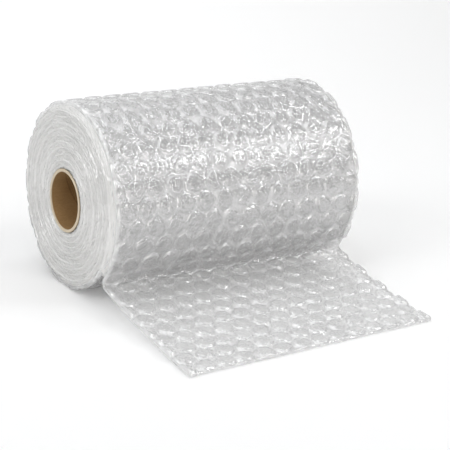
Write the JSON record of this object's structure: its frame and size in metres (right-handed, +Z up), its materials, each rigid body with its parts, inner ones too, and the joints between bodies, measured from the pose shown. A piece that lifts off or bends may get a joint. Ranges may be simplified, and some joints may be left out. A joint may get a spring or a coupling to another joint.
{
  "type": "roll of bubble cushioning film",
  "caption": "Roll of clear bubble cushioning film wound on an open cardboard core, lying on its side with its free end pulled out flat.",
  "frame": {"origin": "on the floor, under the roll's axis and at the middle of the film's width, on the flat of the middle bubble that the roll rests on", "axes": "+X along the roll's axis, -Y the way the free end lies, +Z up"},
  "size_m": [0.304, 0.3637, 0.1978],
  "materials": {
    "core_cardboard": "plain brown paper tube, matt",
    "clear_film": "clear glossy polyethylene film, milky where many layers lie on each other"
  },
  "bodies": {
    "root": {"cardboard_core": "core_cardboard", "bubble_film": "clear_film"}
  },
  "joints": []
}
